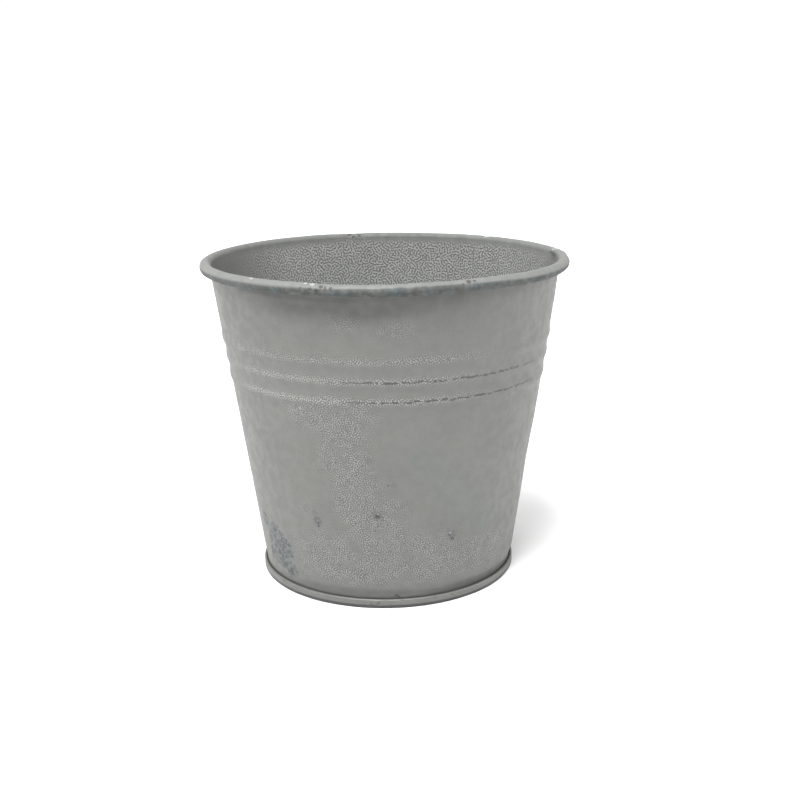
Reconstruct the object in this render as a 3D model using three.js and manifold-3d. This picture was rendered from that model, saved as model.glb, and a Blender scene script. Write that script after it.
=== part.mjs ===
// Small tapered florist bucket in coated sheet steel, in millimetres, +Z up.
// The origin is on the axis, in the plane that the foot stands on.
// A wall sheet with three rolled beads is curled over a wire at the rim.
// Its foot is hooked into the edge of the base pan, with sealing compound in the fold.
import * as THREE from "three";
import { mergeVertices } from "three/addons/utils/BufferGeometryUtils.js";
import Module from "manifold-3d";

// Overall sizes
const rimDiameter = 135; // over the rolled rim
const footDiameter = 96.5; // over the base seam
const bucketHeight = 119; // foot to top of rim
const sheet = 0.35; // thickness of the wall and the base pan
const layerGap = 0.05; // between the layers in the base seam

// Rolled rim
const rimWireDiameter = 3.2;
const rimWireClearance = 0.12; // between the wire and the sheet rolled round it
const rimRollEnd = THREE.MathUtils.degToRad(-140); // where the curl's cut edge lies, under the roll

// Beads rolled into the wall, all of one size
const beadCount = 3;
const beadPitch = 7.05;
const beadDrop = 27.8; // top of rim to the crest of the highest bead
const beadWidth = 5.8;
const beadRelief = 0.4; // how far a crest stands out of the wall

// Foot: double seam between wall and base pan
const seamHeight = 3.3;
const neckRise = 5.2; // height over which the wall is drawn in above the seam
const neckDepth = 1; // how far it is drawn in
const floorHeight = 3.1; // top of the floor panel above the ground
const floorBend = 0.6; // radius where the floor turns down
const footBend = 0.5; // radius of the two bends beside the flat foot
const compoundDepth = 0.8; // sealing compound in the bottom of the wall's hook

// Side seam, where the wall sheet's two edges are locked together
const sideSeamAngle = THREE.MathUtils.degToRad(5.6); // from +X towards +Y
const sideSeamWidth = 4.5;
const sideSeamRelief = 2 * sheet; // two folds of sheet stand outside the wall
const sideSeamRoot = 0.2; // how deep the fold's root lies in the wall, under one sheet
const sideSeamClearance = 0.4; // to the base seam and to the rolled rim

const aroundSteps = 60;

// Radii of the five sheet layers in the base seam, numbered inwards, at mid-thickness
const layerPitch = sheet + layerGap;
const layerRadius = (number) => footDiameter / 2 - sheet / 2 - (number - 1) * layerPitch;
const panSkirt = layerRadius(1);
const wallHook = layerRadius(2);
const panHook = layerRadius(3);
const wallFoot = layerRadius(4);
const panRiser = layerRadius(5);
const foldTop = seamHeight - sheet / 2 - layerPitch; // centre of the pan's fold over the wall's hook
const hookBottom = 1.5 * sheet + layerGap + layerPitch; // centre of the wall's fold under the pan's hook

// Rolled rim and the tapered wall, at mid-thickness
const rollRadius = rimWireDiameter / 2 + rimWireClearance + sheet / 2;
const rollCentre = new THREE.Vector2(
  rimDiameter / 2 - rollRadius - sheet / 2,
  bucketHeight - rollRadius - sheet / 2,
);
const neckTop = new THREE.Vector2(wallFoot + neckDepth, seamHeight + neckRise);
const wallSpan = rollCentre.clone().sub(neckTop);
const taper = Math.atan2(wallSpan.x, wallSpan.y) - Math.asin(rollRadius / wallSpan.length());
const topBeadHeight = bucketHeight - beadDrop;

function point(radius, height) {
  return new THREE.Vector2(radius, height);
}

function arc(radius, height, bend, from, to, steps) {
  return new THREE.ArcCurve(radius, height, bend, from, to, to < from).getPoints(steps);
}

// Each point of a line moved square to it, outwards for a line drawn upwards.
function offsetLine(line, distance) {
  return line.map((here, i) => {
    const before = line[Math.max(i - 1, 0)];
    const after = line[Math.min(i + 1, line.length - 1)];
    const arriving = here.clone().sub(i > 0 ? before : after).multiplyScalar(i > 0 ? 1 : -1);
    const leaving = after.clone().sub(i < line.length - 1 ? here : before);
    const along = arriving.normalize().add(leaving.normalize()).normalize();
    const reach = distance / along.dot(leaving);
    return point(here.x + along.y * reach, here.y - along.x * reach);
  });
}

// Closed outline between two offsets of one line.
function bandOutline(line, outer, inner) {
  return [...offsetLine(line, outer), ...offsetLine(line, inner).reverse()];
}

function lathe(outline) {
  const geometry = new THREE.LatheGeometry(outline, aroundSteps);
  return geometry.rotateX(Math.PI / 2);
}

function latheRing(outline) {
  return lathe([...outline, outline[0]]);
}

// A wall bead's height above the plain taper: a smooth wave, zero at both ends.
function beadLine(crestHeight) {
  const steps = 4;
  const heights = Array.from({ length: steps + 1 }, (_, i) => (i / steps - 0.5) * beadWidth);
  return heights.map((rise) => {
    const relief = (beadRelief / 2) * (1 + Math.cos((2 * Math.PI * rise) / beadWidth));
    const height = crestHeight + rise;
    return point(neckTop.x + (height - neckTop.y) * Math.tan(taper) + relief, height);
  });
}

// Wall sheet from the base seam up to the rolled rim, without its two hooked ends.
function wallBodyLine() {
  const neck = new THREE.CubicBezierCurve(
    point(wallFoot, seamHeight),
    point(wallFoot, seamHeight + neckRise / 3),
    point(neckTop.x - (neckRise / 3) * Math.tan(taper), neckTop.y - neckRise / 3),
    neckTop,
  );
  const beads = Array.from({ length: beadCount }, (_, i) => beadLine(topBeadHeight - i * beadPitch));
  return [...neck.getPoints(4), ...beads.reverse().flat()];
}

function wallLine() {
  return [
    point(wallHook, foldTop),
    ...arc(panHook, hookBottom, layerPitch, 0, -Math.PI, 4),
    ...wallBodyLine(),
    ...arc(rollCentre.x, rollCentre.y, rollRadius, Math.PI - taper, rimRollEnd, 12),
  ];
}

function basePanLine() {
  const floorLine = floorHeight - sheet / 2;
  const footLine = sheet / 2;
  const quarter = Math.PI / 2;
  return [
    point(0, floorLine),
    ...arc(panRiser - floorBend, floorLine - floorBend, floorBend, quarter, 0, 3),
    ...arc(panRiser + footBend, footLine + footBend, footBend, Math.PI, 3 * quarter, 2),
    ...arc(panSkirt - footBend, footLine + footBend, footBend, -quarter, 0, 2),
    ...arc(wallHook, foldTop, layerPitch, 0, Math.PI, 4),
    point(panHook, hookBottom + compoundDepth + layerGap),
  ];
}

const manifold = await Module();
manifold.setup();

function toSolid(geometry) {
  const bare = geometry.clone();
  bare.deleteAttribute("normal");
  bare.deleteAttribute("uv");
  const merged = mergeVertices(bare, 1e-4);
  return new manifold.Manifold(
    new manifold.Mesh({
      numProp: 3,
      vertProperties: merged.attributes.position.array,
      triVerts: new Uint32Array(merged.index.array),
    }),
  );
}

function toGeometry(solid) {
  const mesh = solid.getMesh();
  const geometry = new THREE.BufferGeometry();
  geometry.setAttribute("position", new THREE.BufferAttribute(mesh.vertProperties, mesh.numProp));
  geometry.setIndex(new THREE.BufferAttribute(mesh.triVerts, 1));
  geometry.computeVertexNormals();
  return geometry;
}

// The locked side seam: a flat fold that follows the wall's beads.
function sideSeamGeometry() {
  const lowest = seamHeight + sideSeamClearance;
  const highest = rollCentre.y - rollRadius - sheet / 2 - sideSeamClearance;
  const body = wallBodyLine().filter((p) => p.y > lowest);
  const top = point(neckTop.x + (highest - neckTop.y) * Math.tan(taper), highest);
  const outline = bandOutline([...body, top], sheet / 2 + sideSeamRelief, sheet / 2 - sideSeamRoot);
  const options = { depth: sideSeamWidth, bevelEnabled: false };
  const geometry = new THREE.ExtrudeGeometry(new THREE.Shape(outline), options);
  geometry.translate(0, 0, -sideSeamWidth / 2);
  return geometry.rotateX(Math.PI / 2).rotateZ(sideSeamAngle);
}

function sideWall() {
  const shell = latheRing(bandOutline(wallLine(), sheet / 2, -sheet / 2));
  return toGeometry(toSolid(shell).add(toSolid(sideSeamGeometry())));
}

function basePan() {
  return lathe(bandOutline(basePanLine(), sheet / 2, -sheet / 2));
}

function rimWire() {
  const steps = 10;
  const section = arc(rollCentre.x, rollCentre.y, rimWireDiameter / 2, 0, 2 * Math.PI, steps);
  return latheRing(section.slice(0, steps));
}

function seamCompound() {
  const top = hookBottom + compoundDepth;
  const line = [point(panHook, hookBottom), point(panHook, top)];
  return latheRing(bandOutline(line, sheet / 2, -sheet / 2));
}

function piece(name, geometry, color, roughness, metalness) {
  const material = new THREE.MeshStandardMaterial({ color, roughness, metalness });
  const mesh = new THREE.Mesh(geometry, material);
  mesh.name = name;
  return mesh;
}

const bucket = new THREE.Group();
bucket.add(piece("side_wall", sideWall(), 0x8f928e, 0.6, 0.35));
bucket.add(piece("base_pan", basePan(), 0x8a8d89, 0.6, 0.35));
bucket.add(piece("rim_wire", rimWire(), 0x9a9ca0, 0.4, 0.9));
bucket.add(piece("seam_compound", seamCompound(), 0x33343a, 0.8, 0));

export default bucket;
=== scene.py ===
import math

import bpy
import numpy as np
from mathutils import Matrix, Vector


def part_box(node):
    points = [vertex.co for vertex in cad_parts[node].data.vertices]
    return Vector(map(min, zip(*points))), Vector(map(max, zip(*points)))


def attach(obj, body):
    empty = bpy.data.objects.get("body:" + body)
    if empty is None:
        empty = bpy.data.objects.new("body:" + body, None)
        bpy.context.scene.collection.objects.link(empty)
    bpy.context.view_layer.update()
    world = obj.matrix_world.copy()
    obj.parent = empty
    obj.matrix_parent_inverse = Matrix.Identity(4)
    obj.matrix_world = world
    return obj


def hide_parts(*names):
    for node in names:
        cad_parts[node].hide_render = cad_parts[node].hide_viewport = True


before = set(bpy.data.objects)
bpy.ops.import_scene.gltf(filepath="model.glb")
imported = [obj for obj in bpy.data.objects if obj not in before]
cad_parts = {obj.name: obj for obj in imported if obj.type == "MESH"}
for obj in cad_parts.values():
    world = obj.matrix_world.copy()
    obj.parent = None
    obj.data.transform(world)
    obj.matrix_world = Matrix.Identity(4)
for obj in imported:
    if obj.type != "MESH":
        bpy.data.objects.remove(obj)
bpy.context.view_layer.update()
mm = 0.001
tau = 2 * math.pi


def boxOf(node):
    low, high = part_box(node)
    return np.array(low) / mm, np.array(high) / mm


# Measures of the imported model, in millimetres.
wallHigh = boxOf("side_wall")[1]
panHigh = boxOf("base_pan")[1]
wireLow, wireHigh = boxOf("rim_wire")
compoundLow, compoundHigh = boxOf("seam_compound")

rimTop = wallHigh[2]
rollHeight = (wireLow[2] + wireHigh[2]) / 2
rollOutside = rimTop - rollHeight
rollRadius = wallHigh[0] - rollOutside  # of the wire's own centre line
footRadius = panHigh[0]
seamTop = panHigh[2]
rimWidth, footWidth = round(2 * wallHigh[0], 1), round(2 * footRadius, 1)
print("frame read: rim", rimWidth, "foot", footWidth, "height", round(rimTop, 1))

sheet = {"thickness": 0.35, "gap": 0.05}
halfSheet = sheet["thickness"] / 2
layerPitch = sheet["thickness"] + sheet["gap"]
# mid-thickness radii of the five layers in the base seam, from outside in
layers = [footRadius - halfSheet - i * layerPitch for i in range(5)]
foldTop = seamTop - halfSheet - layerPitch
hookBottom = 3 * halfSheet + sheet["gap"] + layerPitch
sharpAngle = math.radians(50)


def smooth(value, start, end):
    t = np.clip((np.asarray(value, float) - start) / (end - start), 0, 1)
    return t * t * (3 - 2 * t)


def apart(angle, centre):
    return (np.asarray(angle) - centre + 180) % 360 - 180


def blob(angle, height, spot):
    # a soft oval on the wall: angle, height, half width in degrees, half height, strength
    a, h, wide, high, strength = spot
    distance = np.hypot(apart(angle, a) / wide, (height - h) / high)
    return strength * (1 - smooth(distance, 0.45, 1.0))


def blobs(angle, height, spots):
    return sum(blob(angle, height, spot) for spot in spots)


def arcLine(radius, height, bend, start, end, steps):
    angles = np.radians(np.linspace(start, end, steps + 1))
    return np.stack([radius + bend * np.cos(angles), height + bend * np.sin(angles)], 1)


def bezierLine(a, b, c, d, steps):
    t = np.linspace(0, 1, steps + 1)[:, None]
    return (1 - t) ** 3 * a + 3 * t * (1 - t) ** 2 * b + 3 * t * t * (1 - t) * c + t ** 3 * d


def offsetLine(line, distance):
    steps = np.diff(line, axis=0)
    steps /= np.linalg.norm(steps, axis=1)[:, None]
    arriving = np.vstack([steps[:1], steps])
    leaving = np.vstack([steps, steps[-1:]])
    along = arriving + leaving
    along /= np.linalg.norm(along, axis=1)[:, None]
    reach = distance / np.sum(along * leaving, axis=1)
    return line + np.stack([along[:, 1], -along[:, 0]], 1) * reach[:, None]


def ripple(angle, lowest, highest, seed):
    # a smooth closed wave round the bucket, between -1 and 1
    draw = np.random.default_rng(seed)
    turns = np.arange(lowest, highest + 1)
    phases = draw.uniform(0, tau, len(turns))
    sizes = draw.uniform(0.4, 1.0, len(turns))
    waves = [s * np.sin(np.radians(angle) * n + p) for n, p, s in zip(turns, phases, sizes)]
    return sum(waves) / np.sum(sizes) * 2


def turned(angle, r, z, shift=0):
    turn = np.radians(angle)
    return np.stack([r * np.cos(turn) + shift, r * np.sin(turn), z], -1)


def meshPiece(name, points, faces):
    mesh = bpy.data.meshes.new(name)
    mesh.from_pydata((points * mm).tolist(), [], faces)
    mesh.shade_smooth()
    mesh.set_sharp_from_angle(angle=sharpAngle)
    made = bpy.data.objects.new(name, mesh)
    bpy.context.scene.collection.objects.link(made)
    return made


def turnedMesh(name, sections, closedRound=True):
    # sections is (columns, rows, 3) in millimetres; rows form a closed outline
    columns, rows = sections.shape[:2]
    column = np.arange(columns if closedRound else columns - 1)
    a = column[:, None] * rows
    b = (column[:, None] + 1) % columns * rows
    row = np.arange(rows)[None, :]
    after = (row + 1) % rows
    faces = np.stack([a + row, b + row, b + after, a + after], -1).reshape(-1, 4).tolist()
    if not closedRound:
        faces += [list(range(rows))[::-1], [int((columns - 1) * rows + i) for i in range(rows)]]
    return meshPiece(name, sections.reshape(-1, 3), faces)


def discMesh(name, sections):
    # like turnedMesh, but the outline's first and last points lie on the axis and each becomes one point
    columns, rows = sections.shape[:2]
    inner = rows - 2
    topPole, lowPole = columns * inner, columns * inner + 1
    faces = []
    for i in range(columns):
        j = (i + 1) % columns
        faces.append([topPole, j * inner, i * inner])
        faces.append([lowPole, i * inner + inner - 1, j * inner + inner - 1])
        for k in range(inner - 1):
            faces.append([i * inner + k, j * inner + k, j * inner + k + 1, i * inner + k + 1])
    poles = np.array([sections[:, 0].mean(0), sections[:, -1].mean(0)])
    return meshPiece(name, np.vstack([sections[:, 1:-1].reshape(-1, 3), poles]), faces)


def paintNumbers(piece, name, values):
    layer = piece.data.attributes.new(name, "FLOAT", "POINT")
    layer.data.foreach_set("value", np.asarray(values, np.float32).ravel())


def paintVectors(piece, name, values):
    layer = piece.data.attributes.new(name, "FLOAT_VECTOR", "POINT")
    layer.data.foreach_set("vector", np.asarray(values, np.float32).ravel())


# The wall is one sheet, from the hook in the base seam to the cut edge under the rolled rim.
# Angles are in degrees round the bucket from +X, and the front is at -90.
sideSeam = {
    "angle": 5.6,
    "width": 4.5,
    "radius": 58,  # mean radius of the wall, for the seam's width in degrees
    "relief": 0.7,
    "edge": 0.35,  # width of the step at each edge
    "inside step": 0.16,
    "lap": (-11, -1),  # where the lap in the roll begins, in millimetres from the seam's middle
    "roll step": 0.2,  # how much thicker the roll is where the two ends lap
    "roll inner step": 0.6,  # and how much more on its inner side
}

wall = {
    "bead crests": [rimTop - 27.8 - 7.05 * i for i in range(3)],
    "bead width": 5.8,
    "bead relief": 0.4,
    "neck rise": 5.2,
    "neck depth": 1.0,
    "roll end": -140,  # degrees round the roll, where the sheet's cut edge lies
    "rows": {"hook": 6, "neck": 7, "plain": 2.0, "beads": 0.7, "roll": 24},  # counts, or spacing in mm
    "columns": 350,
    "foot shift": -0.33,  # the foot sits this far off the wall's axis
    "rim inset": 0.16,  # keeps lumps in the roll inside the model's box
    "rim drop": 0.3,
    "slow waves": (0.10, 0.07),  # heights of the long and the shorter unevenness
    "rim ripple": 0.05,
    # slow swellings of the wall: angle, height, half width in degrees, half height, how far out
    "swellings": [(-9, 84, 30, 44, 0.5), (-172, 106, 26, 22, 0.3), (75, 70, 40, 40, -0.25)],
}

# Lifts of the rim, each as angle and width in degrees and height: the rim isn't quite flat.
rimWaves = [(-97, 15, -0.3), (-58, 16, 0.26), (122, 24, 0.2), (25, 18, -0.1)]

# Dings pressed into the wall: angle, height, radius, depth.
dings = [(-118.8, 32.7, 1.5, 0.22), (-94.4, 36.1, 1.1, 0.4), (-64.6, 26.1, 1.5, 0.25), (58, 60, 2.4, 0.3)]

# Knocks on the roll: angle, place round the roll (90 is the top), length, depth.
knocks = [
    (101.5, 75, 1.6, 0.16), (98.5, 100, 1.2, 0.18), (104.5, 60, 1.4, 0.12), (106.5, 95, 1.0, 0.1),
    (49.9, 85, 1.6, 0.2), (175.3, 60, 1.8, 0.16), (-107.5, 20, 1.2, 0.16), (-111.1, 120, 1.3, 0.14),
    (-66.6, 30, 1.0, 0.24), (-131.3, 110, 1.4, 0.1), (-38, 60, 1.5, 0.1), (-177.9, 130, 1.1, 0.2),
]

neckTop = np.array([layers[3] + wall["neck depth"], seamTop + wall["neck rise"]])
rollSheet = rollOutside - halfSheet  # mid-thickness radius of the roll
rollMiddle = np.array([rollRadius - wall["rim inset"], rollHeight - wall["rim drop"]])
wallSpan = rollMiddle - neckTop
taper = math.atan2(wallSpan[0], wallSpan[1]) - math.asin(rollSheet / np.linalg.norm(wallSpan))
rollStart = 180 - math.degrees(taper)
halfSeam = sideSeam["width"] / 2
halfSeamAngle = math.degrees(halfSeam / sideSeam["radius"])
cutAngle = sideSeam["angle"] + halfSeamAngle


def plainRadius(height):
    return neckTop[0] + (height - neckTop[1]) * math.tan(taper)


def slantAt(height):
    return plainRadius(height) / math.sin(taper)


def slantOnRoll(place):
    # place goes round the roll in degrees, 90 at its top, 0 outside
    unrolled = rollStart - np.where(np.asarray(place) < -90, np.asarray(place) + 360, place)
    return slantAt(rollMiddle[1]) + rollOutside * np.radians(unrolled)


def laidFlat(angle, alongSlant):
    # where a point of the sheet lies, in millimetres, once the cone is cut open at the side seam
    turn = np.radians(apart(angle, cutAngle + 180)) * math.sin(taper)
    return alongSlant * np.cos(turn), alongSlant * np.sin(turn)


def beadRelief(height):
    total = np.zeros_like(height, float)
    for crest in wall["bead crests"]:
        inside = np.clip((height - crest) / wall["bead width"], -0.5, 0.5)
        total += wall["bead relief"] / 2 * (1 + np.cos(tau * inside))
    return total


def rimLift(angle):
    return sum(h * np.exp(-((apart(angle, a) / w) ** 2)) for a, w, h in rimWaves)


def wallHeights():
    # rows lie closer over the beads and the dings
    rows = wall["rows"]
    lastBead = wall["bead crests"][-1] - wall["bead width"] / 2
    firstBead = wall["bead crests"][0] + wall["bead width"] / 2
    tangent = rollMiddle[1] + rollSheet * math.sin(taper)
    lower = np.arange(neckTop[1] + rows["plain"], lastBead - 0.3, rows["plain"])
    aroundDings = [ding[1] + shift for ding in dings for shift in (-1.4, -0.7, 0, 0.7, 1.4)]
    lower = np.unique(np.round(np.concatenate([lower, aroundDings]), 2))
    lower = lower[np.concatenate([[True], np.diff(lower) > 0.35])]
    beads = np.arange(lastBead, firstBead + 0.01, rows["beads"])
    upper = np.arange(firstBead + rows["plain"], tangent - 0.8, rows["plain"])
    return np.concatenate([lower, beads, upper])


def wallSheetLine():
    rows, third = wall["rows"], wall["neck rise"] / 3
    neck = bezierLine(
        np.array([layers[3], seamTop]),
        np.array([layers[3], seamTop + third]),
        neckTop - third * np.array([math.tan(taper), 1]),
        neckTop,
        rows["neck"],
    )
    heights = wallHeights()
    body = np.stack([plainRadius(heights) + beadRelief(heights), heights], 1)
    roll = arcLine(*rollMiddle, rollSheet, rollStart, wall["roll end"], rows["roll"])
    hook = arcLine(layers[2], hookBottom, layerPitch, 0, -180, rows["hook"])
    return np.vstack([[[layers[1], foldTop]], hook, neck, body, roll])


def wallAngles():
    # columns lie closer at the side seam, the dings and the knocks
    edges = [sideSeam["angle"] + side * halfSeamAngle for side in (-1, 1)]
    even = np.linspace(-180, 180, wall["columns"], endpoint=False)
    extra = [edge + step for edge in edges for step in (-0.36, -0.18, 0, 0.18, 0.36)]
    extra += [ding[0] + step for ding in dings for step in (-1.2, -0.6, 0, 0.6, 1.2)]
    extra += [knock[0] + step for knock in knocks for step in (-0.5, 0.5)]
    angles = np.unique(np.round(np.concatenate([even, extra]), 3))
    return angles[np.concatenate([[True], np.diff(angles) > 0.14])]


def seamFold(across, level):
    # the locked side seam outside: a flat fold between the base seam and the roll
    half, edge = halfSeam, sideSeam["edge"]
    fold = smooth(across, -half - edge, -half) * (1 - smooth(across, half, half + edge))
    above = smooth(level, seamTop + 0.3, seamTop + 1.2)
    below = 1 - smooth(level, rollHeight - 3.6, rollHeight - 2.6)
    return sideSeam["relief"] * fold * (above * below)


def seamLedge(across, level):
    # the side seam inside: a fine step that fades away on one side
    half = halfSeam
    ledge = smooth(across, -half - 0.2, -half + 0.1) * (1 - smooth(across, half, half + 3))
    return sideSeam["inside step"] * ledge * smooth(level, 8, 12)


def rollSwell(angle, rollAngle, across):
    # lapped ends, hammering and knocks, all along the roll's own radius
    lap = smooth(across, *sideSeam["lap"]) * (1 - smooth(across, halfSeam - 0.3, halfSeam + 0.1))
    inward = smooth(rollAngle, 96, 135) * (1 - smooth(rollAngle, 138, 171))
    outer = sideSeam["roll step"] * (1 - smooth(rollAngle, 140, 171))
    swell = lap * (outer + sideSeam["roll inner step"] * inward)
    swell += 0.015 * ripple(angle, 14, 46, 14) + 0.008 * ripple(angle + rollAngle * 0.4, 30, 90, 15)
    streaks = np.sin(np.radians(rollAngle) * 9 + ripple(angle, 8, 24, 16))
    swell += 0.05 * streaks * (1 - smooth(np.abs(apart(angle, -4)), 8, 22)) * (rollAngle < 60)
    for a, place, size, depth in knocks:
        along = np.radians(apart(angle, a)) * rollRadius
        distance = np.hypot(along, np.radians(apart(rollAngle, place)) * rollSheet)
        swell -= depth * np.exp(-((distance / size) ** 2) * 1.5)
    return swell


def makeWall():
    line = wallSheetLine()
    outline = np.vstack([offsetLine(line, halfSheet), offsetLine(line, -halfSheet)[::-1]])
    middle = np.vstack([line, line[::-1]])
    away = middle - rollMiddle
    onRoll = np.linalg.norm(away, axis=1) < rollSheet + 0.02
    onRoll &= ~((middle[:, 1] < rollMiddle[1]) & (middle[:, 0] < rollMiddle[0] - 0.8 * rollSheet))
    angles = wallAngles()

    def spread(values):
        return np.broadcast_to(values, (len(angles), len(outline)))

    angle = spread(angles[:, None])
    r = spread(outline[:, 0]).copy()
    z = spread(outline[:, 1]).copy()
    level = spread(middle[:, 1])
    rollAngle = spread(np.degrees(np.arctan2(away[:, 1], away[:, 0])))
    rolled = spread(onRoll)
    outside = spread(np.arange(len(outline)) < len(line))
    body = (level > seamTop + 0.2) & ~rolled

    # slow unevenness of hand-size ware
    rise = smooth(level, seamTop, seamTop + 30) * (1 - smooth(level, rimTop - 14, rimTop - 4))
    long, short = wall["slow waves"]
    r += rise * (long * ripple(angle, 2, 5, 11) + short * np.sin(level / 13.0) * ripple(angle, 3, 9, 12))
    r += np.where(body, blobs(angle, level, wall["swellings"]), 0)
    fineLift = wall["rim ripple"] * ripple(angle, 9, 22, 13) * smooth(level, 108, rimTop)
    z += rimLift(angle) * smooth(level, 84, rimTop) + fineLift
    for a, h, size, depth in dings:
        distance = np.hypot(np.radians(apart(angle, a)) * r, level - h)
        r -= np.where(body, depth * np.exp(-((distance / size) ** 2) * 1.6), 0)

    across = np.radians(apart(angle, sideSeam["angle"])) * r  # from the side seam's middle
    r += np.where(outside & body, seamFold(across, level), 0)
    r -= np.where(~outside & (body | rolled), seamLedge(across, level), 0)
    swell = np.where(rolled, rollSwell(angle, rollAngle, across), 0)
    r += swell * np.cos(np.radians(rollAngle))
    z += swell * np.sin(np.radians(rollAngle))

    shift = wall["foot shift"] * (1 - smooth(level, seamTop, neckTop[1]))
    piece = turnedMesh("rolled_side_wall", turned(angle, r, z, shift))
    paintWall(piece, angle, level, rollAngle, outside, rolled)
    return piece


# The wrinkled coating. Colours are linear, and ovals are angle, height, half width in degrees,
# half height, strength.
coating = {
    "worm pitch inside": 1.12,  # millimetres from one worm to the next
    "worm pitch outside": 0.8,
    "net from inside": 0.425,  # lower gives more light worms and fewer dark pits
    "net from outside": 0.455,
    "net step": 0.16,
    "plain": (0.0745, 0.0758, 0.0685),
    "mottling": 0.09,
    "worm light": (0.156, 0.159, 0.147),
    "worm dark": (0.040, 0.0415, 0.0385),
    "outside ground": (0.043, 0.0442, 0.0402),
    "roll light": (0.056, 0.059, 0.057),
    # painted shade on the underside of the rolled rim
    "roll shade": (0.022, 0.024, 0.021),
    "roll blue": (0.022, 0.032, 0.034),
    "roll shade from": 12,  # degrees round the roll up to which the painted shade reaches, and more at one place in front
    "roll shade front": {"angle": -84, "width": 24, "more": 30},
    "outside contrast": 0.95,
    "faint worms": 0.1,  # share that shows everywhere outside
    "worms outside": [
        (-109, 73, 22, 10, 0.75), (-106, 60, 14, 16, 0.7), (-103, 45, 15, 16, 0.7), (-95, 36, 18, 10, 0.8),
        (-95, 18, 54, 16, 1.0), (-46, 16, 24, 11, 0.9), (-102, 106, 9, 4, 0.5), (-87, 103, 8, 4, 0.5),
        (-120, 73, 8, 4, 0.5), (-126, 36, 10, 6, 0.35), (-150, 12, 16, 8, 0.3), (10, 24, 30, 16, 0.6),
        (62, 55, 20, 22, 0.6), (95, 22, 34, 14, 0.7), (140, 62, 16, 24, 0.5), (165, 24, 22, 12, 0.5),
        (118, 104, 14, 6, 0.4), (28, 100, 12, 7, 0.4),
    ],
    "smooth inside": [
        (172, 104, 34, 26, 1.0), (6, 104, 9, 30, 0.8), (-60, 30, 26, 18, 0.6), (70, 16, 30, 9, 0.5),
    ],
    "rough rim": {"angle": 101.5, "strength": 0.9},
    # rubbed patch low on the left, and a faint smear on the right
    "worn": [
        (-155, 24.5, 6, 5, 0.7), (-147, 22, 8, 6, 0.8), (-143, 17, 13, 8, 1.0), (-147, 12, 11, 6, 1.0),
        (-137.8, 8.8, 6, 4, 0.9),
    ],
    "worn colour": (0.056, 0.074, 0.078),
    "worn share": 0.6,
    "worn specks": (0.009, 0.012, 0.013),
    "smudges": [(-76, 56, 9, 7, 0.8), (-66.6, 45, 10, 8, 0.9), (-59, 36, 9, 8, 0.9), (-50, 29, 8, 7, 0.7)],
    "smudge colour": (0.060, 0.077, 0.074),
    # painted shade: under the rolled rim outside and inside, in the neck above the base seam, and on the
    # inside's left
    "painted shade inside": [(162, 104, 40, 30, 0.55), (100, 117, 60, 3, 0.5)],
    "painted shade outside": [
        (-42, 4.8, 40, 2.4, 1.3), (-105, 5.6, 42, 2.0, 0.7), (-100, 112.5, 50, 8, 0.75),
        (-108, 110, 34, 7, 0.5), (-60, 113, 30, 3, 0.3), (80, 112, 40, 5, 0.6),
        (-122, 113.9, 30, 0.9, 1.5), (-86, 113.9, 40, 0.6, 0.6),
    ],
    "painted shade colour": (0.026, 0.027, 0.025),
    "painted shade share": 0.62,
    "grooveShade": (0.030, 0.031, 0.028),  # painted shade in the groove at the top of the base seam
    "groove shade share": {"wall": 0.7, "pan": 0.75},
    # bands along the beads, from one angle to another and so far above the crest
    "bead worms": {"start": -152, "end": -60, "above crest": 1.2, "half height": 2.0, "strength": 0.75},
    # painted highlights: lighter worm ridges on the upper flank of each bead
    "crest highlight specks": {"start": (-158, -140), "end": (-84, -50), "above crest": 1.0, "strength": 0.65},
    "crest shares": (0.3, 0.75, 1.0),  # how many specks each crest gets, from the top down
    "crest highlight": (0.22, 0.223, 0.208),
    # dark broken lines along the lower two crests
    "splits": {"start": -116, "end": -26, "above crest": 0.9},
    "split colour": (0.016, 0.017, 0.015),
    "foot edge and contact shadow": (0.004, 0.0045, 0.0035),  # bare edge that the bucket stands on, darkened more as painted contact shadow
    "foot edge and contact shadow height": (1.1, 1.5),
    "roughness": (0.5, 0.64),
    "rubbed roughness": 0.25,  # added on the roll
    "refraction": 1.7,
    "grain relief": 0.12,
    "bump": {"Strength": 0.6, "Distance": 0.00006},
}

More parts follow.
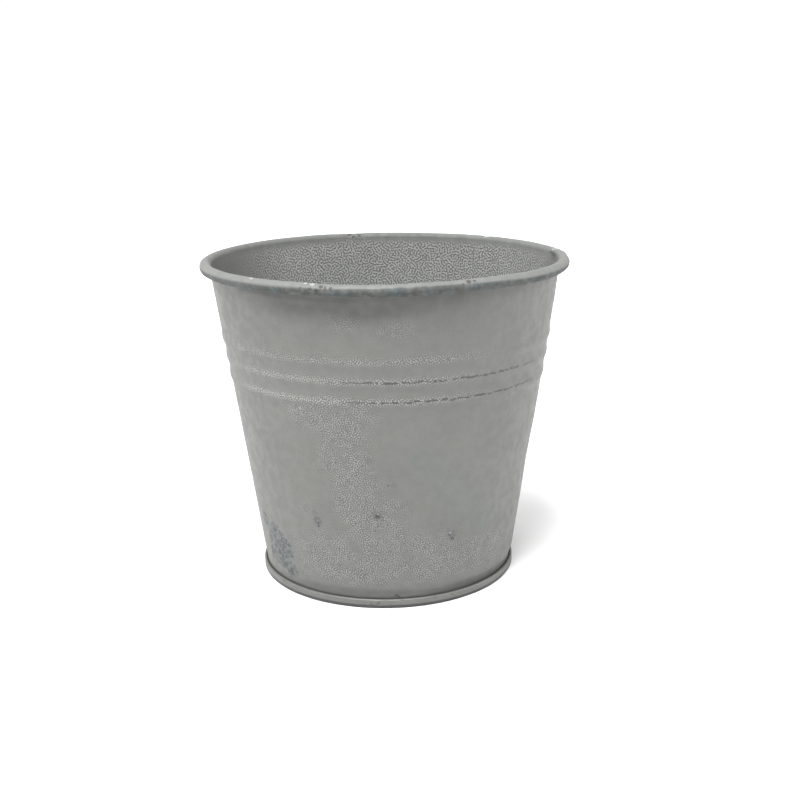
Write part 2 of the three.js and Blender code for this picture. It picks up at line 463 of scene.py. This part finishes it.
# Small round marks: angle, height (or "roll" and the place round the roll), radius in millimetres.
wallMarks = {
    # the soft halos round the dings are painted shade of the dents
    "soft": {"colour": (0.042, 0.046, 0.045), "share": 0.5, "spots": [
        (-118.8, 32.4, 1.8), (-119.6, 35.2, 1.2), (-94.4, 36.3, 1.7), (-64.4, 26.4, 1.8), (-66.0, 28.6, 1.0),
        (-86.7, 4.4, 1.5), (-97, 57, 1.2), (-88, 48, 1.0), (-147, 23, 2.4), (-138, 9.5, 2.0),
    ]},
    # dark rings round two dings: painted shade of the dents' rims
    "ring": {"colour": (0.026, 0.030, 0.029), "share": 0.75, "spots": [
        (-118.8, 32.5, 1.25), (-94.4, 36.2, 1.0),
    ]},
    "dark": {"colour": (0.008, 0.009, 0.008), "share": 1.0, "spots": [
        (100.4, "roll 98", 0.9), (102.8, "roll 112", 0.7), (98.4, "roll 104", 0.6), (105.2, "roll 96", 0.6),
        (103.6, "roll 130", 0.5), (99.5, "roll 142", 0.6), (101.8, "roll 155", 0.5), (97.2, "roll 92", 0.5),
        (-104.8, "roll 30", 0.5), (-108.9, "roll 5", 0.6), (-64.8, "roll 52", 0.45), (-68.4, "roll 30", 0.4),
        (8.9, "roll 110", 0.7), (9.2, "roll 150", 0.8), (1.5, "roll 45", 0.5), (-1.5, "roll 10", 0.5),
        (-90, 48, 0.3), (-101, 34, 0.25), (-118.6, 30.4, 0.4), (-65.2, 26.6, 0.45), (-63.4, 24.8, 0.35),
        (-86.9, 4.6, 0.5), (-85.9, 4.1, 0.4), (-94.4, 36.1, 0.62), (-94.2, 32.6, 0.3), (-95.4, 30.6, 0.25),
        (-118.6, 31.5, 0.35), (-64.2, 25.2, 0.4), (-137.8, 8.5, 0.9), (-141, 20.5, 0.5), (-146, 22.8, 0.7),
        (100.4, "roll 80", 0.8), (102.8, "roll 55", 0.5), (98.6, "roll 95", 0.45), (105.2, "roll 70", 0.5),
        (-177.9, "roll 140", 0.5), (-66.6, "roll 50", 0.75), (-107.5, "roll 42", 0.7),
        (-106.3, "roll 34", 0.5), (-110.6, "roll 15", 0.55), (-113.5, "roll 20", 0.3),
        (8.6, "roll 130", 0.7), (176.0, "roll 70", 0.35), (3.5, "roll 20", 0.4),
    ]},
    # painted highlights: glints, mostly on the dings, the knocks on the roll and the lapped roll ends
    "bright": {"colour": (0.155, 0.16, 0.155), "share": 1.0, "spots": [
        (-94.1, 36.9, 0.3), (-110.4, "roll 80", 0.9), (-112.6, "roll 84", 0.7), (49.9, "roll 100", 0.9),
        (6.3, "roll 118", 1.0), (6.9, "roll 95", 0.8), (-131.3, "roll 75", 0.6), (-120.4, 74.6, 0.5),
        (-64.9, 27.4, 0.35),
    ]},
}
footMarks = {"colour": (0.018, 0.019, 0.017), "spots": [
    (-97.6, 1.85, 0.34), (-96.6, 1.6, 0.26), (-94.4, 2.15, 0.42), (-95.3, 1.75, 0.26), (-143, 3.0, 0.4),
    (-84.6, 3.2, 0.4), (-70, 2.9, 0.3), (-62, 2.5, 0.28), (150, 2.0, 0.4), (60, 2.2, 0.4), (-5, 1.9, 0.35),
]}
innerFace = 40.0  # third number of a laid-flat place on the sheet's inner face; 0 on the outer one


def wormStrength(angle, level, outside, rolled):
    band, rough = coating["bead worms"], coating["rough rim"]
    out = blobs(angle, level, coating["worms outside"])
    along = smooth(angle, band["start"] - 6, band["start"] + 6)
    along = along * (1 - smooth(angle, band["end"] - 14, band["end"] + 14))
    for crest in wall["bead crests"]:
        away = np.abs(level - crest - band["above crest"]) / band["half height"]
        out = out + band["strength"] * along * (1 - smooth(away, 0.3, 1.0))
    out = np.clip(out + coating["faint worms"], 0, 1) * smooth(level, 6.5, 9.5)
    out = out * coating["outside contrast"]
    inner = np.clip(1 - blobs(angle, level, coating["smooth inside"]), 0, 1)
    inner = inner * (1 - smooth(level, rollHeight - 2.6, rollHeight - 1.6))
    roughRim = (1 - smooth(np.abs(apart(angle, rough["angle"])), 4, 8)) * rough["strength"]
    inner = np.maximum(inner, roughRim * (1 - smooth(level, rollHeight - 0.5, rollHeight + 1.4)))
    return np.where(outside, out, inner) * np.where(rolled & outside, 0, 1)


def paintWall(piece, angle, level, rollAngle, outside, rolled):
    # what the material needs to know about each point of the sheet
    alongSlant = np.where(rolled, slantOnRoll(rollAngle), slantAt(level))
    x, y = laidFlat(angle, alongSlant)
    paintVectors(piece, "laidFlat", np.stack([x, y, np.where(outside, 0, innerFace)], -1))
    pitches = (coating["worm pitch outside"], coating["worm pitch inside"])
    paintNumbers(piece, "wormsPerMillimetre", np.where(outside, 1 / pitches[0], 1 / pitches[1]))
    paintNumbers(piece, "worms", wormStrength(angle, level, outside, rolled))
    paintNumbers(piece, "worn", blobs(angle, level, coating["worn"]) * outside)
    paintNumbers(piece, "smudge", blobs(angle, level, coating["smudges"]) * outside)
    # painted shade from the listed ovals, outside and inside
    outerShade = blobs(angle, level, coating["painted shade outside"]) * ~rolled
    innerShade = blobs(angle, level, coating["painted shade inside"])
    paintNumbers(piece, "paintedShade", np.where(outside, outerShade, innerShade))

    # painted highlights along the upper flank of the beads
    band = coating["crest highlight specks"]
    specks = sum(
        share * (1 - smooth(np.abs(level - crest - band["above crest"]), 0.3, 1.3))
        for crest, share in zip(wall["bead crests"], coating["crest shares"])
    )
    specks = specks * (smooth(angle, *band["start"]) * (1 - smooth(angle, *band["end"])))
    paintNumbers(piece, "crestHighlights", specks * outside)
    band = coating["splits"]
    along = smooth(angle, band["start"], band["start"] + 25)
    along = along * (1 - smooth(angle, band["end"] - 12, band["end"]))
    paintNumbers(piece, "splits", along * outside)

    paintNumbers(piece, "roll", rolled * smooth(rollAngle, 0, 70))
    # painted shade on the roll's underside, reaching higher round the roll at the front
    front = coating["roll shade front"]
    darkFrom = coating["roll shade from"]
    darkFrom = darkFrom + front["more"] * np.exp(-((apart(angle, front["angle"]) / front["width"]) ** 2))
    paintNumbers(piece, "rollUnderside", rolled * smooth(darkFrom - rollAngle, -9, 9) * (rollAngle < 100))


def addNode(tree, kind, inputs=None, **settings):
    node = tree.nodes.new("ShaderNode" + kind)
    for key, value in settings.items():
        setattr(node, key, value)
    for key, value in (inputs or {}).items():
        if isinstance(value, bpy.types.NodeSocket):
            tree.links.new(value, node.inputs[key])
        else:
            node.inputs[key].default_value = value
    return node


def combine(tree, operation, a, b=0.5, clamp=False):
    return addNode(tree, "Math", {0: a, 1: b}, operation=operation, use_clamp=clamp).outputs[0]


def times(tree, a, b, clamp=False):
    return combine(tree, "MULTIPLY", a, b, clamp)


def ramp(tree, value, low, high, start=0.0, end=1.0):
    settings = {"Value": value, "From Min": low, "From Max": high, "To Min": start, "To Max": end}
    return addNode(tree, "MapRange", settings, interpolation_type="SMOOTHSTEP").outputs["Result"]


def mixColours(tree, share, a, b):
    node = addNode(tree, "Mix", data_type="RGBA")
    colours = [socket for socket in node.inputs if socket.type == "RGBA"]
    for socket, value in ((node.inputs[0], share), (colours[0], a), (colours[1], b)):
        if isinstance(value, bpy.types.NodeSocket):
            tree.links.new(value, socket)
        else:
            socket.default_value = (*value, 1) if isinstance(value, tuple) else value
    return [socket for socket in node.outputs if socket.type == "RGBA"][0]


def painted(tree, name):
    return addNode(tree, "Attribute", attribute_name=name).outputs["Fac"]


def scaled(tree, vector, factor):
    return addNode(tree, "VectorMath", {0: vector, "Scale": factor}, operation="SCALE").outputs[0]


def heightOf(tree, vector):
    return addNode(tree, "SeparateXYZ", {0: vector}).outputs["Z"]


def noise(tree, place, scale, detail=2.0, roughness=0.5):
    settings = {"Vector": place, "Scale": scale, "Detail": detail, "Roughness": roughness}
    return addNode(tree, "TexNoise", settings).outputs["Fac"]


def wander(tree, place, scale, detail, roughness, reach):
    # noise about zero, for ragged edges and wavering lines
    return times(tree, combine(tree, "SUBTRACT", noise(tree, place, scale, detail, roughness), 0.5), reach)


def patches(tree, place, noiseSettings, low, high, start=0.0, end=1.0):
    return ramp(tree, noise(tree, place, *noiseSettings), low, high, start, end)


def newMaterial(name):
    material = bpy.data.materials.new(name)
    material.use_nodes = True
    tree = material.node_tree
    return material, tree, tree.nodes["Principled BSDF"]


def wallPlaces(spots):
    # each mark's place on the laid-flat sheet; on the roll it is the inner face that shows
    for angle, height, radius in spots:
        onRoll = isinstance(height, str)
        slant = slantOnRoll(float(height.split()[1])) if onRoll else slantAt(height)
        x, y = laidFlat(angle, slant)
        yield (float(x), float(y), innerFace if onRoll else 0), radius


def footPlaces(spots):
    # the same for the skirt of the base pan, in the bucket's own frame
    for angle, height, radius in spots:
        turn = math.radians(angle)
        x, y = footRadius * math.cos(turn) + wall["foot shift"], footRadius * math.sin(turn)
        yield (x, y, height), radius


def markMask(tree, where, places, ragged, hollow=False):
    total = None
    for centre, radius in places:
        away = addNode(tree, "VectorMath", {0: where, 1: centre}, operation="DISTANCE").outputs["Value"]
        edge = combine(tree, "ADD", away, times(tree, ragged, radius * (0.25 if hollow else 1)))
        mark = ramp(tree, edge, radius * 0.8, radius * 1.3, 1, 0)
        if hollow:
            mark = times(tree, mark, ramp(tree, edge, radius * 0.4, radius * 0.8))
        total = mark if total is None else combine(tree, "MAXIMUM", total, mark)
    return total


def splitMask(tree, flatPlace, place):
    # dark dashes where the coating has split along the lower two crests
    slant = addNode(tree, "VectorMath", {0: flatPlace}, operation="LENGTH").outputs["Value"]
    slant = combine(tree, "ADD", slant, wander(tree, place, 0.35, 2, 0.5, 1.6))
    total = None
    for crest in wall["bead crests"][1:]:
        line = slantAt(crest + coating["splits"]["above crest"])
        away = combine(tree, "ABSOLUTE", combine(tree, "SUBTRACT", slant, line))
        mark = ramp(tree, away, 0.14, 0.5, 1, 0)
        total = mark if total is None else combine(tree, "MAXIMUM", total, mark)
    total = times(tree, total, patches(tree, place, (0.55, 2, 0.6), 0.41, 0.49))
    return times(tree, total, painted(tree, "splits"))


def plainCoating(tree, place):
    # slow mottling and fine grain
    grain = noise(tree, place, 2.2, 3, 0.6)
    light = tuple(c * (1 + coating["mottling"]) for c in coating["plain"])
    dark = tuple(c * (1 - coating["mottling"]) for c in coating["plain"])
    plain = mixColours(tree, patches(tree, place, (0.045, 4, 0.55), 0.3, 0.7), dark, light)
    plain = mixColours(tree, patches(tree, place, (0.4, 3, 0.6), 0.35, 0.65, 0, 0.3), plain, dark)
    plain = mixColours(tree, ramp(tree, grain, 0.35, 0.65, 0, 0.6), plain, light)
    return plain, grain


def wormNet(tree, wormPlace, place, dimensions, netFrom):
    # light worms joined into a net round darker pits
    settings = {"Vector": wormPlace, "Scale": 0.5, "Frequency": 2.0, "Anisotropy": 0.0}
    gabor = addNode(tree, "TexGabor", settings, gabor_type=dimensions).outputs["Value"]
    value = combine(tree, "ADD", gabor, wander(tree, place, 1.1, 2, 0.6, 0.35))
    return ramp(tree, combine(tree, "SUBTRACT", value, netFrom), 0, coating["net step"])


def finishCoating(tree, shader, place, colour, relief):
    tree.links.new(colour, shader.inputs["Base Color"])
    gloss = patches(tree, place, (0.3, 3), 0.3, 0.7, *coating["roughness"])
    rubbed = combine(tree, "MAXIMUM", painted(tree, "roll"), painted(tree, "rollUnderside"))
    rubbed = times(tree, rubbed, coating["rubbed roughness"])
    tree.links.new(combine(tree, "ADD", gloss, rubbed, clamp=True), shader.inputs["Roughness"])
    shader.inputs["Metallic"].default_value = 0.0
    shader.inputs["IOR"].default_value = coating["refraction"]
    bump = addNode(tree, "Bump", {"Height": relief, **coating["bump"]})
    tree.links.new(bump.outputs["Normal"], shader.inputs["Normal"])


def rollTopAndUnderShade(tree, place, colour):
    # lighter top of the rolled rim; painted shade on its underside, bluish where it is worn
    top = times(tree, painted(tree, "roll"), patches(tree, place, (0.35, 4, 0.6), 0.3, 0.7, 0.35, 1))
    colour = mixColours(tree, top, colour, coating["roll light"])
    bluish = patches(tree, place, (0.2, 4), 0.4, 0.62)
    shadeAndWear = mixColours(tree, bluish, coating["roll shade"], coating["roll blue"])
    uneven = patches(tree, place, (0.6, 4), 0.3, 0.6, 0.6, 1)
    return mixColours(tree, times(tree, painted(tree, "rollUnderside"), uneven), colour, shadeAndWear)


def wornPatches(tree, place, colour):
    # the bluish rubbed patch with its dark specks, and the fainter smear
    patch = combine(tree, "ADD", painted(tree, "worn"), wander(tree, place, 0.55, 5, 0.75, 2.2))
    patch = times(tree, ramp(tree, patch, 0.35, 1.0), ramp(tree, painted(tree, "worn"), 0.0, 0.3))
    colour = mixColours(tree, times(tree, patch, coating["worn share"]), colour, coating["worn colour"])
    specks = times(tree, patches(tree, place, (0.62, 5, 0.8), 0.46, 0.53), ramp(tree, patch, 0.1, 0.45))
    colour = mixColours(tree, specks, colour, coating["worn specks"])
    smear = patches(tree, place, (0.28, 4, 0.6), 0.35, 0.65, 0, 0.6)
    smear = times(tree, painted(tree, "smudge"), smear, clamp=True)
    return mixColours(tree, smear, colour, coating["smudge colour"])


def shadedPlaces(tree, place, inside, colour):
    # painted shade under the rim and at the other listed places, and painted shade in the groove just above
    # the base seam
    # painted shade, a little uneven
    shadeAmount = times(tree, painted(tree, "paintedShade"), patches(tree, place, (0.08, 3, 0.5), 0.3, 0.6, 0.8, 1))
    shadeAmount = times(tree, shadeAmount, coating["painted shade share"], clamp=True)
    colour = mixColours(tree, shadeAmount, colour, coating["painted shade colour"])
    level = combine(tree, "ADD", heightOf(tree, place), wander(tree, place, 0.3, 4, 0.6, 1.2))
    # painted shade in the groove just above the base seam
    neckShade = ramp(tree, level, seamTop + 0.1, seamTop + 1.2, 1, 0)
    neckShade = times(tree, neckShade, combine(tree, "SUBTRACT", 1.0, inside))
    return mixColours(tree, times(tree, neckShade, coating["groove shade share"]["wall"]), colour, coating["grooveShade"])


def wallCoating():
    material, tree, shader = newMaterial("wallCoating")
    place = scaled(tree, addNode(tree, "TexCoord").outputs["Object"], 1 / mm)
    flatPlace = addNode(tree, "Attribute", attribute_name="laidFlat").outputs["Vector"]
    wormPlace = scaled(tree, flatPlace, painted(tree, "wormsPerMillimetre"))
    inside = ramp(tree, heightOf(tree, flatPlace), 10, 30)
    netFrom = ramp(tree, inside, 0, 1, coating["net from outside"], coating["net from inside"])

    plain, grain = plainCoating(tree, place)
    ridge = wormNet(tree, wormPlace, place, "2D", netFrom)
    patchy = patches(tree, place, (0.22, 4, 0.6), 0.36, 0.56, 0.3, 1.0)
    patchy = combine(tree, "MAXIMUM", patchy, times(tree, inside, 0.9))
    strength = times(tree, painted(tree, "worms"), patchy, clamp=True)
    ground = mixColours(tree, inside, coating["outside ground"], coating["worm dark"])
    net = mixColours(tree, ridge, ground, coating["worm light"])
    colour = mixColours(tree, strength, plain, net)

    colour = rollTopAndUnderShade(tree, place, colour)
    colour = wornPatches(tree, place, colour)
    colour = shadedPlaces(tree, place, inside, colour)
    # painted highlights on the worm ridges above the bead crests
    specks = times(tree, times(tree, painted(tree, "crestHighlights"), ridge), coating["crest highlight specks"]["strength"])
    colour = mixColours(tree, specks, colour, coating["crest highlight"])
    splits = splitMask(tree, flatPlace, place)
    colour = mixColours(tree, splits, colour, coating["split colour"])
    jagged = wander(tree, place, 1.4, 3, 0.7, 2.4)
    # the soft halos and rings at the dings are painted shade, the bright spots painted highlights
    for kind, marks in wallMarks.items():
        mask = markMask(tree, flatPlace, wallPlaces(marks["spots"]), jagged, hollow=(kind == "ring"))
        colour = mixColours(tree, times(tree, mask, marks["share"]), colour, marks["colour"])

    relief = combine(tree, "SUBTRACT", times(tree, ridge, strength), splits)
    relief = combine(tree, "ADD", relief, times(tree, grain, coating["grain relief"]))
    finishCoating(tree, shader, place, colour, relief)
    return material


def panCoating():
    material, tree, shader = newMaterial("panCoating")
    coords = addNode(tree, "TexCoord").outputs["Object"]
    place = scaled(tree, coords, 1 / mm)
    wormPlace = scaled(tree, coords, 1 / mm / coating["worm pitch inside"])
    plain, grain = plainCoating(tree, place)
    ridge = wormNet(tree, wormPlace, place, "3D", coating["net from inside"])
    net = mixColours(tree, ridge, coating["worm dark"], coating["worm light"])
    strength = painted(tree, "worms")
    colour = mixColours(tree, strength, plain, net)

    # dark foot edge: the bare edge where the foot rubs on what it stands on, deepened by painted contact
    # shadow; and painted shade in the groove at the seam's top
    height = heightOf(tree, place)
    uneven = wander(tree, place, 0.3, 4, 0.6, 0.7)
    edge = ramp(tree, combine(tree, "ADD", height, uneven), *coating["foot edge and contact shadow height"], 1, 0)
    colour = mixColours(tree, edge, colour, coating["foot edge and contact shadow"])
    # painted shade at the top of the seam, where the worms don't cover it
    grooveShade = combine(tree, "ADD", height, times(tree, uneven, 0.5))
    grooveShade = ramp(tree, grooveShade, seamTop - 0.5, seamTop - 0.1)
    grooveShade = times(tree, grooveShade, combine(tree, "SUBTRACT", 1.0, strength))
    colour = mixColours(tree, times(tree, grooveShade, coating["groove shade share"]["pan"]), colour, coating["grooveShade"])
    mask = markMask(tree, place, footPlaces(footMarks["spots"]), wander(tree, place, 1.4, 3, 0.7, 2.4))
    colour = mixColours(tree, mask, colour, footMarks["colour"])

    relief = combine(tree, "ADD", times(tree, ridge, strength), times(tree, grain, coating["grain relief"]))
    finishCoating(tree, shader, place, colour, relief)
    return material


pan = {
    "floor top": 3.1,
    "floor bend": 0.6,
    "foot bend": 0.5,
    "floor rings": 14,
    "floor sag": 0.12,
    "skirt unevenness": 0.03,
    "columns": 260,
}


def makePan():
    floorLine = pan["floor top"] - halfSheet
    floorBend, footBend = pan["floor bend"], pan["foot bend"]
    rings = np.linspace(0, layers[4] - floorBend - 0.6, pan["floor rings"])
    line = np.vstack([
        np.stack([rings, np.full_like(rings, floorLine)], 1),
        arcLine(layers[4] - floorBend, floorLine - floorBend, floorBend, 90, 0, 5),
        arcLine(layers[4] + footBend, halfSheet + footBend, footBend, 180, 270, 5),
        arcLine(layers[0] - footBend, halfSheet + footBend, footBend, -90, 0, 5),
        [[layers[0], foldTop * share] for share in (0.4, 0.6, 0.8)],
        arcLine(layers[1], foldTop, layerPitch, 0, 180, 8),
        [[layers[2], hookBottom + compound["depth"] + sheet["gap"]]],
    ])
    outline = np.vstack([offsetLine(line, halfSheet), offsetLine(line, -halfSheet)[::-1]])
    angles = np.linspace(-180, 180, pan["columns"], endpoint=False)
    angle = np.broadcast_to(angles[:, None], (len(angles), len(outline)))
    r = np.broadcast_to(outline[:, 0], angle.shape).copy()
    z = np.broadcast_to(outline[:, 1], angle.shape).copy()
    floor = 1 - smooth(r, layers[4] - 12, layers[4] - 1)
    z += floor * pan["floor sag"] * np.sin(r / 9) * ripple(angle, 1, 3, 21) * smooth(r, 0, 10)
    skirt = smooth(r, layers[1] - 0.1, layers[1] + 0.2) * smooth(z, 0.8, 1.6)
    r += skirt * pan["skirt unevenness"] * ripple(angle, 12, 50, 22)
    piece = discMesh("pressed_base_pan", turned(angle, r, z, wall["foot shift"]))

    # only the top of the floor panel is wrinkled
    places = np.array([v.co for v in piece.data.vertices]) / mm
    across = np.hypot(places[:, 0] - wall["foot shift"], places[:, 1])
    onFloor = (1 - smooth(across, layers[4] - 4, layers[4] - 2)) * smooth(places[:, 2], 2.8, 3.0)
    paintNumbers(piece, "worms", onFloor)
    return piece


# Steel wire hidden in the rolled rim.
wire = {
    "end gap": 0.3,  # degrees from the side seam's middle to each end
    "columns": 181,
    "sides": 16,
    "dark": (0.42, 0.42, 0.41),
    "light": (0.6, 0.6, 0.6),
    "roughness": (0.3, 0.5),
}


def makeWire():
    first = sideSeam["angle"] + wire["end gap"]
    angles = np.linspace(first, sideSeam["angle"] + 360 - wire["end gap"], wire["columns"])[:, None]
    section = arcLine(*rollMiddle, wireHigh[0] - rollRadius, 0, 360, wire["sides"])[:-1]
    r = section[None, ::-1, 0] + 0 * angles
    z = section[None, ::-1, 1] + rimLift(angles)
    return turnedMesh("rim_wire_ring", turned(angles, r, z), closedRound=False)


def wireSteel():
    material, tree, shader = newMaterial("drawnWire")
    streak = noise(tree, addNode(tree, "TexCoord").outputs["Object"], 900, 3, 0.6)
    colour = mixColours(tree, ramp(tree, streak, 0.35, 0.65), wire["dark"], wire["light"])
    tree.links.new(colour, shader.inputs["Base Color"])
    tree.links.new(ramp(tree, streak, 0.3, 0.7, *wire["roughness"]), shader.inputs["Roughness"])
    shader.inputs["Metallic"].default_value = 1.0
    return material


# Sealing compound hidden in the bottom of the wall's hook.
compound = {
    "depth": compoundHigh[2] - compoundLow[2],
    "corner": 0.08,
    "unevenness": 0.05,
    "columns": 240,
    "dark": (0.025, 0.026, 0.03),
    "light": (0.06, 0.06, 0.065),
    "roughness": (0.6, 0.8),
}


def makeCompound():
    low, high = hookBottom, hookBottom + compound["depth"]
    inner, outer = layers[2] - halfSheet, layers[2] + halfSheet
    corner = compound["corner"]
    outline = np.array([
        [inner, low + corner], [inner + corner, low], [outer - corner, low], [outer, low + corner],
        [outer, high - corner], [outer - corner, high], [inner + corner, high], [inner, high - corner],
    ])
    angles = np.linspace(-180, 180, compound["columns"], endpoint=False)
    uneven = compound["unevenness"] * ripple(angles, 20, 60, 31)[:, None] - compound["unevenness"]
    z = outline[None, :, 1] + np.where(outline[None, :, 1] > (low + high) / 2, uneven, 0)
    r = outline[None, :, 0] + 0 * angles[:, None]
    return turnedMesh("sealing_compound_ring", turned(angles[:, None], r, z, wall["foot shift"]))


def compoundRubber():
    material, tree, shader = newMaterial("sealingCompound")
    lumps = noise(tree, addNode(tree, "TexCoord").outputs["Object"], 1200, 3, 0.6)
    colour = mixColours(tree, ramp(tree, lumps, 0.3, 0.7), compound["dark"], compound["light"])
    tree.links.new(colour, shader.inputs["Base Color"])
    tree.links.new(ramp(tree, lumps, 0.3, 0.7, *compound["roughness"]), shader.inputs["Roughness"])
    bump = addNode(tree, "Bump", {"Height": lumps, "Strength": 0.4, "Distance": 0.0001})
    tree.links.new(bump.outputs["Normal"], shader.inputs["Normal"])
    return material


def standIn(piece, node, material):
    piece.data.materials.append(material)
    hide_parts(node)
    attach(piece, "root")
    print(piece.name, "made:", len(piece.data.polygons), "faces")


standIn(makeWall(), "side_wall", wallCoating())
standIn(makePan(), "base_pan", panCoating())
standIn(makeWire(), "rim_wire", wireSteel())
standIn(makeCompound(), "seam_compound", compoundRubber())


studio = {
    "floor size": 12.0,
    "floor near": (0.6, 0.6, 0.6),
    "floor far": (1.0, 1.0, 1.0),
    "floor change": (0.3, 0.8),  # metres from the bucket over which the paper gets whiter
    "floor mottling": 0.02,
    # brightness of the room round the bucket
    "wall behind": 1.04,
    "ceiling": 1.15,
    "room in front": 0.03,
    # each lamp: where it stands, what it points at, its size and power
    "lamps": [
        ((-0.14, -0.52, 1.04), (0, 0, 0.08), 0.45, 19),
        ((-0.10, -0.32, 1.13), (0, 0, 0.08), 0.4, 14),
        ((-0.95, -0.05, 0.70), (0, 0, 0.06), 0.6, 6.4),
        ((0.95, -0.15, 0.62), (0, 0, 0.06), 0.6, 7.4),
        ((-0.75, 0.60, 0.60), (0, 0, 0.06), 0.5, 2.4),
    ],
}


def makeFloor():
    half = studio["floor size"] / 2
    mesh = bpy.data.meshes.new("studioFloor")
    corners = [(-half, -half, 0), (half, -half, 0), (half, half, 0), (-half, half, 0)]
    mesh.from_pydata(corners, [], [(0, 1, 2, 3)])
    floor = bpy.data.objects.new("studioFloor", mesh)
    bpy.context.scene.collection.objects.link(floor)
    material, tree, shader = newMaterial("floorPaper")
    coords = addNode(tree, "TexCoord").outputs["Object"]
    away = addNode(tree, "VectorMath", {0: coords}, operation="LENGTH").outputs["Value"]
    share = ramp(tree, away, *studio["floor change"])
    mottling = times(tree, noise(tree, coords, 3, 2), studio["floor mottling"])
    share = combine(tree, "ADD", share, mottling, clamp=True)
    colour = mixColours(tree, share, studio["floor near"], studio["floor far"])
    tree.links.new(colour, shader.inputs["Base Color"])
    shader.inputs["Roughness"].default_value = 0.9
    shader.inputs["Specular IOR Level"].default_value = 0.1
    mesh.materials.append(material)


def makeLamp(index, where, target, size, power):
    data = bpy.data.lights.new("softbox" + str(index), "AREA")
    data.shape = "DISK"
    data.size = size
    data.energy = power
    lamp = bpy.data.objects.new(data.name, data)
    lamp.location = where
    lamp.rotation_euler = (Vector(target) - Vector(where)).to_track_quat("-Z", "Y").to_euler()
    bpy.context.scene.collection.objects.link(lamp)


def makeWorld():
    # white wall behind and white ceiling, dark room in front; looked at directly it is white all round
    world = bpy.data.worlds.new("studioWhite")
    world.use_nodes = True
    tree = world.node_tree
    background = tree.nodes["Background"]
    background.inputs["Color"].default_value = (1, 1, 1, 1)
    direction = addNode(tree, "TexCoord").outputs["Generated"]
    parts = addNode(tree, "SeparateXYZ", {0: direction}).outputs
    glow = ramp(tree, parts["Y"], -0.1, 0.1, studio["room in front"], studio["wall behind"])
    above = ramp(tree, parts["Z"], 0.4, 0.6)
    glow = times(tree, glow, combine(tree, "SUBTRACT", 1.0, above))
    glow = combine(tree, "ADD", glow, times(tree, above, studio["ceiling"]))
    seen = addNode(tree, "LightPath").outputs["Is Camera Ray"]
    glow = combine(tree, "MAXIMUM", glow, times(tree, seen, studio["wall behind"]))
    tree.links.new(glow, background.inputs["Strength"])
    bpy.context.scene.world = world


camera = {
    "lens": 51.88,
    "distance": 0.4223,  # from the bucket's axis
    "height": 0.1784,
    "down": 15.25,  # degrees
    "turn": 0.675,
    "roll": -0.728,
}


def makeCamera():
    data = bpy.data.cameras.new("frontCamera")
    data.lens = camera["lens"]
    data.sensor_width = 36
    data.clip_start = 0.01
    made = bpy.data.objects.new("frontCamera", data)
    turn = Matrix.Rotation(math.radians(-camera["turn"]), 4, "Z")
    tilt = Matrix.Rotation(math.radians(90 - camera["down"]), 4, "X")
    roll = Matrix.Rotation(math.radians(camera["roll"]), 4, "Z")
    made.matrix_world = Matrix.Translation((0, -camera["distance"], camera["height"])) @ turn @ tilt @ roll
    bpy.context.scene.collection.objects.link(made)
    bpy.context.scene.camera = made


makeFloor()
for i, lamp in enumerate(studio["lamps"]):
    makeLamp(i, *lamp)
makeWorld()
makeCamera()
bpy.context.scene.view_settings.view_transform = "Standard"
print("studio ready")
